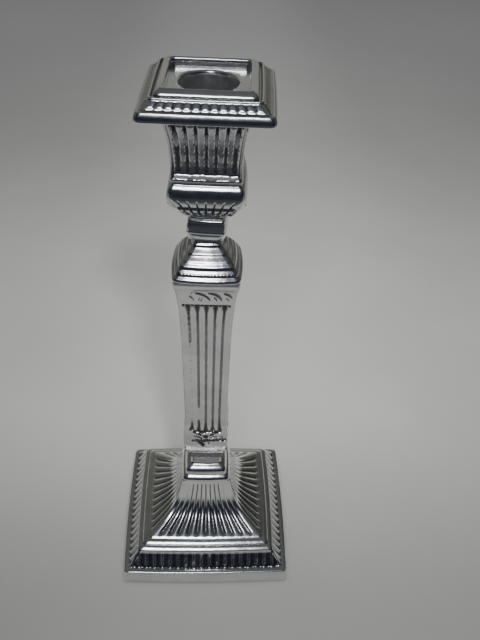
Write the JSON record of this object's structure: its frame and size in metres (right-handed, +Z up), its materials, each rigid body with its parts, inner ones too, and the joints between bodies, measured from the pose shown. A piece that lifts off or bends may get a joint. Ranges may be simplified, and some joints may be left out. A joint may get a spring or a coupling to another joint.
{
  "type": "square candlestick",
  "caption": "Square neo-classical candlestick of polished cast metal with a fluted stem, stepped foot and a lift-out square nozzle.",
  "frame": {"origin": "middle of the felt's underside, on the surface the candlestick stands on", "axes": "+Z up the stem to the candle; -Y is the front face of the foot, +X to its right"},
  "size_m": [0.092, 0.092, 0.2664],
  "materials": {
    "polished_casting": "polished, dark in the hollows",
    "patinated_casting": "polished ridges, black patina in the flutes",
    "spun_cup": "satin, smoke-darkened",
    "plated_steel": "zinc plated",
    "green_felt": "felt"
  },
  "bodies": {
    "candlestick": {"foot": "polished_casting", "plinth_collar": "polished_casting", "column": "polished_casting", "shoulder_cap": "polished_casting", "knop": "polished_casting", "capital": "patinated_casting", "tie_rod": "plated_steel", "upper_nut": "plated_steel", "upper_washer": "plated_steel", "foot_nut": "plated_steel", "foot_washer": "plated_steel", "foot_lock_washer": "plated_steel", "base_plate": "plated_steel", "felt_pad": "green_felt"},
    "nozzle": {"drip_pan": "polished_casting", "well_frame": "polished_casting", "candle_cup": "spun_cup", "nozzle_flange": "spun_cup"}
  },
  "joints": [
    {"name": "nozzle_lift", "type": "slide", "parent": "candlestick", "child": "nozzle", "axis": [0, 0, 1], "range_m": [0, 0.04]}
  ]
}
